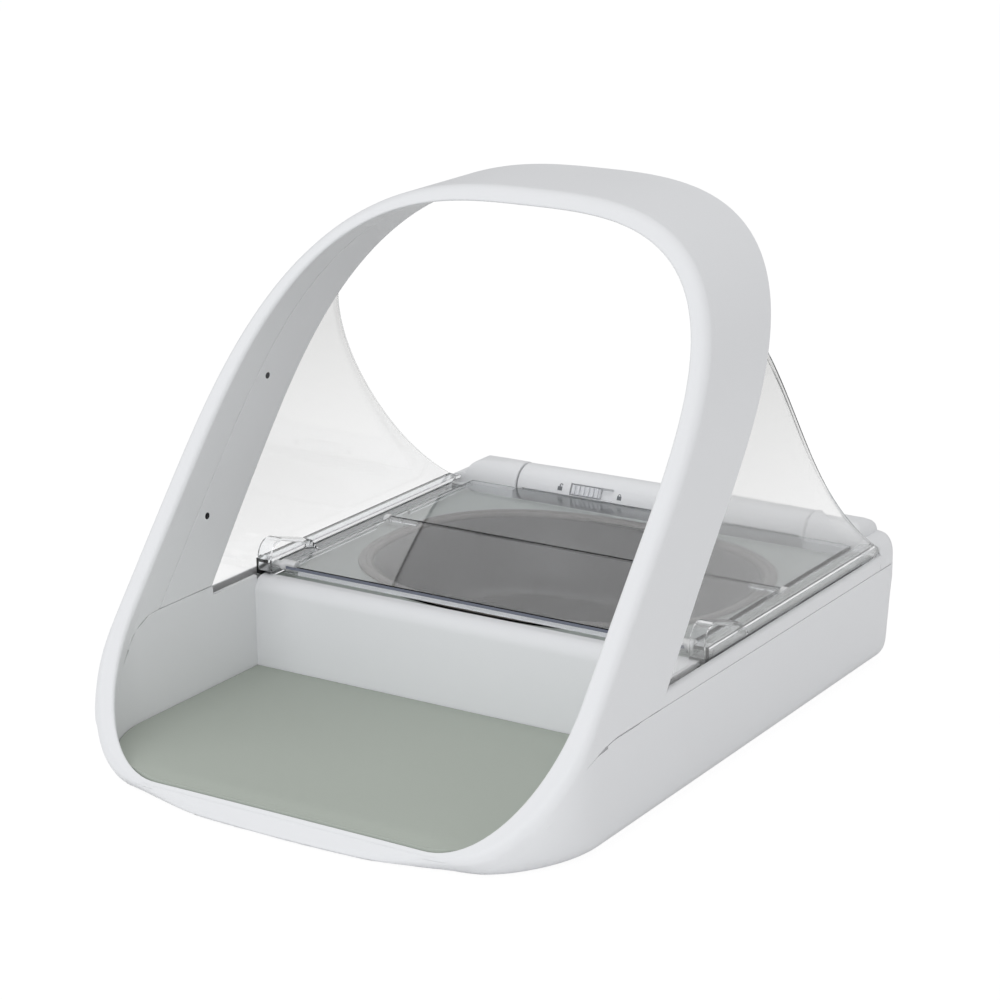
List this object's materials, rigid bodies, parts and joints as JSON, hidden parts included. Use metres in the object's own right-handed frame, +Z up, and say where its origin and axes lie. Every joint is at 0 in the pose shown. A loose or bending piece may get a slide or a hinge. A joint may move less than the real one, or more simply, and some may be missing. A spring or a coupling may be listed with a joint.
{
  "type": "microchip pet feeder",
  "caption": "Pet feeder with a sloped hoop over an open bay and a bowl behind it under a clear folding lid that slides back on side tracks.",
  "frame": {"origin": "middle of the footprint, on the surface that the rubber feet stand on", "axes": "-Y towards the open front, +X to the right side, +Z up"},
  "size_m": [0.23, 0.3178, 0.22],
  "materials": {
    "white_shell": "satin, fine texture",
    "underside": "satin",
    "clear_plastic": "clear, polished",
    "sage_tray": "satin",
    "dark_bowl": "satin",
    "sage_mat": "soft, matte",
    "steel": "plain",
    "bush_plastic": "plain",
    "board_green": "satin",
    "copper_loop": "lacquered",
    "dark_sensor": "polished",
    "cell_wrap": "satin",
    "case_plastic": "plain",
    "button_grey": "satin",
    "lens_plastic": "clear",
    "foot_rubber": "matte"
  },
  "bodies": {
    "feeder": {"base_shell": "white_shell", "bottom_plate": "underside", "hoop_shell": "white_shell", "hoop_liner": "white_shell", "rear_housing": "white_shell", "bowl_tray": "sage_tray", "bowl": "dark_bowl", "wing_left": "clear_plastic", "wing_right": "clear_plastic", "track_left": "clear_plastic", "track_right": "clear_plastic", "gear_motor": "steel", "pivot_bush": "bush_plastic", "circuit_board": "board_green", "antenna": "copper_loop", "sensors_left": "dark_sensor", "sensors_right": "dark_sensor", "cells_left": "cell_wrap", "cells_right": "cell_wrap", "cell_case_left": "case_plastic", "cell_case_right": "case_plastic", "contacts_left": "steel", "contacts_right": "steel", "status_lens": "lens_plastic", "feet": "foot_rubber", "screws": "steel"},
    "rear_leaf": {"hinge_barrel": "white_shell", "lid_rear": "clear_plastic", "mid_pin_left": "white_shell", "mid_pin_right": "white_shell", "drive_shaft": "steel", "pivot_pin": "steel"},
    "front_leaf": {"lid_front": "clear_plastic", "guide_pin_left": "white_shell", "guide_pin_right": "white_shell"},
    "lid_lock": {"lock_slider": "white_shell"},
    "floor_mat": {"mat": "sage_mat"},
    "pair_key": {"pair_button": "button_grey"},
    "open_key": {"open_button": "button_grey"},
    "battery_door_left": {"door_left": "underside"},
    "battery_door_right": {"door_right": "underside"}
  },
  "joints": [
    {"name": "lid_hinge", "type": "hinge", "parent": "feeder", "child": "rear_leaf", "pos_m": [0, 0.141, 0.053], "axis": [-1, 0, 0], "range_deg": [0, 80]},
    {"name": "lid_fold", "type": "hinge", "parent": "rear_leaf", "child": "front_leaf", "pos_m": [0, 0.0623, 0.052], "axis": [1, 0, 0], "range_deg": [0, 160]},
    {"name": "lock_slide", "type": "slide", "parent": "rear_leaf", "child": "lid_lock", "axis": [1, 0, 0], "range_m": [0, 0.007]},
    {"name": "mat_lift", "type": "slide", "parent": "feeder", "child": "floor_mat", "axis": [0, 0, 1], "range_m": [0, 0.045]},
    {"name": "pair_press", "type": "slide", "parent": "feeder", "child": "pair_key", "axis": [0, -1, 0], "range_m": [0, 0.0008], "stiffness_N_per_m": 600},
    {"name": "open_press", "type": "slide", "parent": "feeder", "child": "open_key", "axis": [0, -1, 0], "range_m": [0, 0.0008], "stiffness_N_per_m": 600},
    {"name": "battery_door_left_hinge", "type": "hinge", "parent": "feeder", "child": "battery_door_left", "pos_m": [-0.0734, 0.052, 0.002], "axis": [0, -1, 0], "range_deg": [0, 100]},
    {"name": "battery_door_right_hinge", "type": "hinge", "parent": "feeder", "child": "battery_door_right", "pos_m": [0.0734, 0.052, 0.002], "axis": [0, 1, 0], "range_deg": [0, 100]}
  ],
  "couplings": [
    {"joint": "lid_fold", "follows": "lid_hinge", "ratio": 2}
  ]
}
